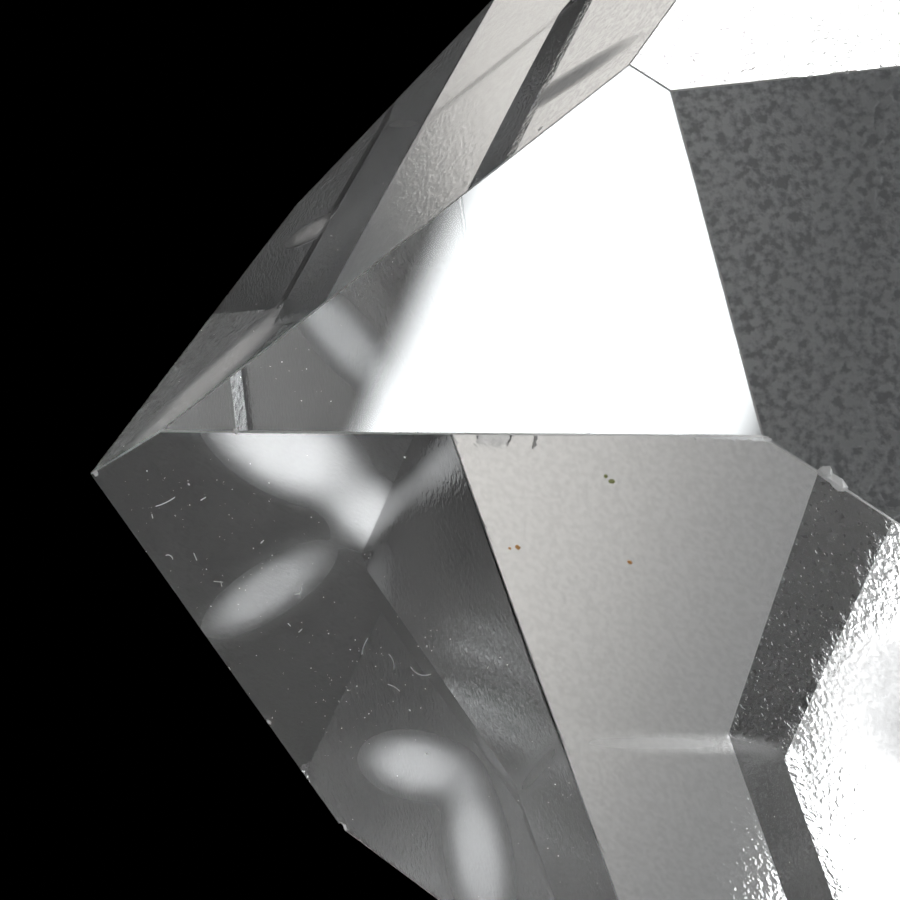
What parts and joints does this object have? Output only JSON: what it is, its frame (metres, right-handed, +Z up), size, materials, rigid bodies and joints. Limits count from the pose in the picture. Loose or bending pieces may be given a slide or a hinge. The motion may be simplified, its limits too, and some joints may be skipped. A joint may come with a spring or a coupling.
{
  "type": "quartz crystal point",
  "caption": "Clear quartz crystal point with polished end faces, frosted prism faces with growth ledges and a flat sawn base; stands upright as an ornament.",
  "frame": {"origin": "middle of the crystal's box, at the sawn base", "axes": "+Z up the crystal's long axis, from the sawn base to the tip; +X out through one of the prism faces that carry growth ledges"},
  "size_m": [0.0448, 0.0445, 0.09],
  "materials": {
    "clear_quartz": "polished end faces, frosted prism faces"
  },
  "bodies": {
    "root": {"quartz_point": "clear_quartz"}
  },
  "joints": []
}
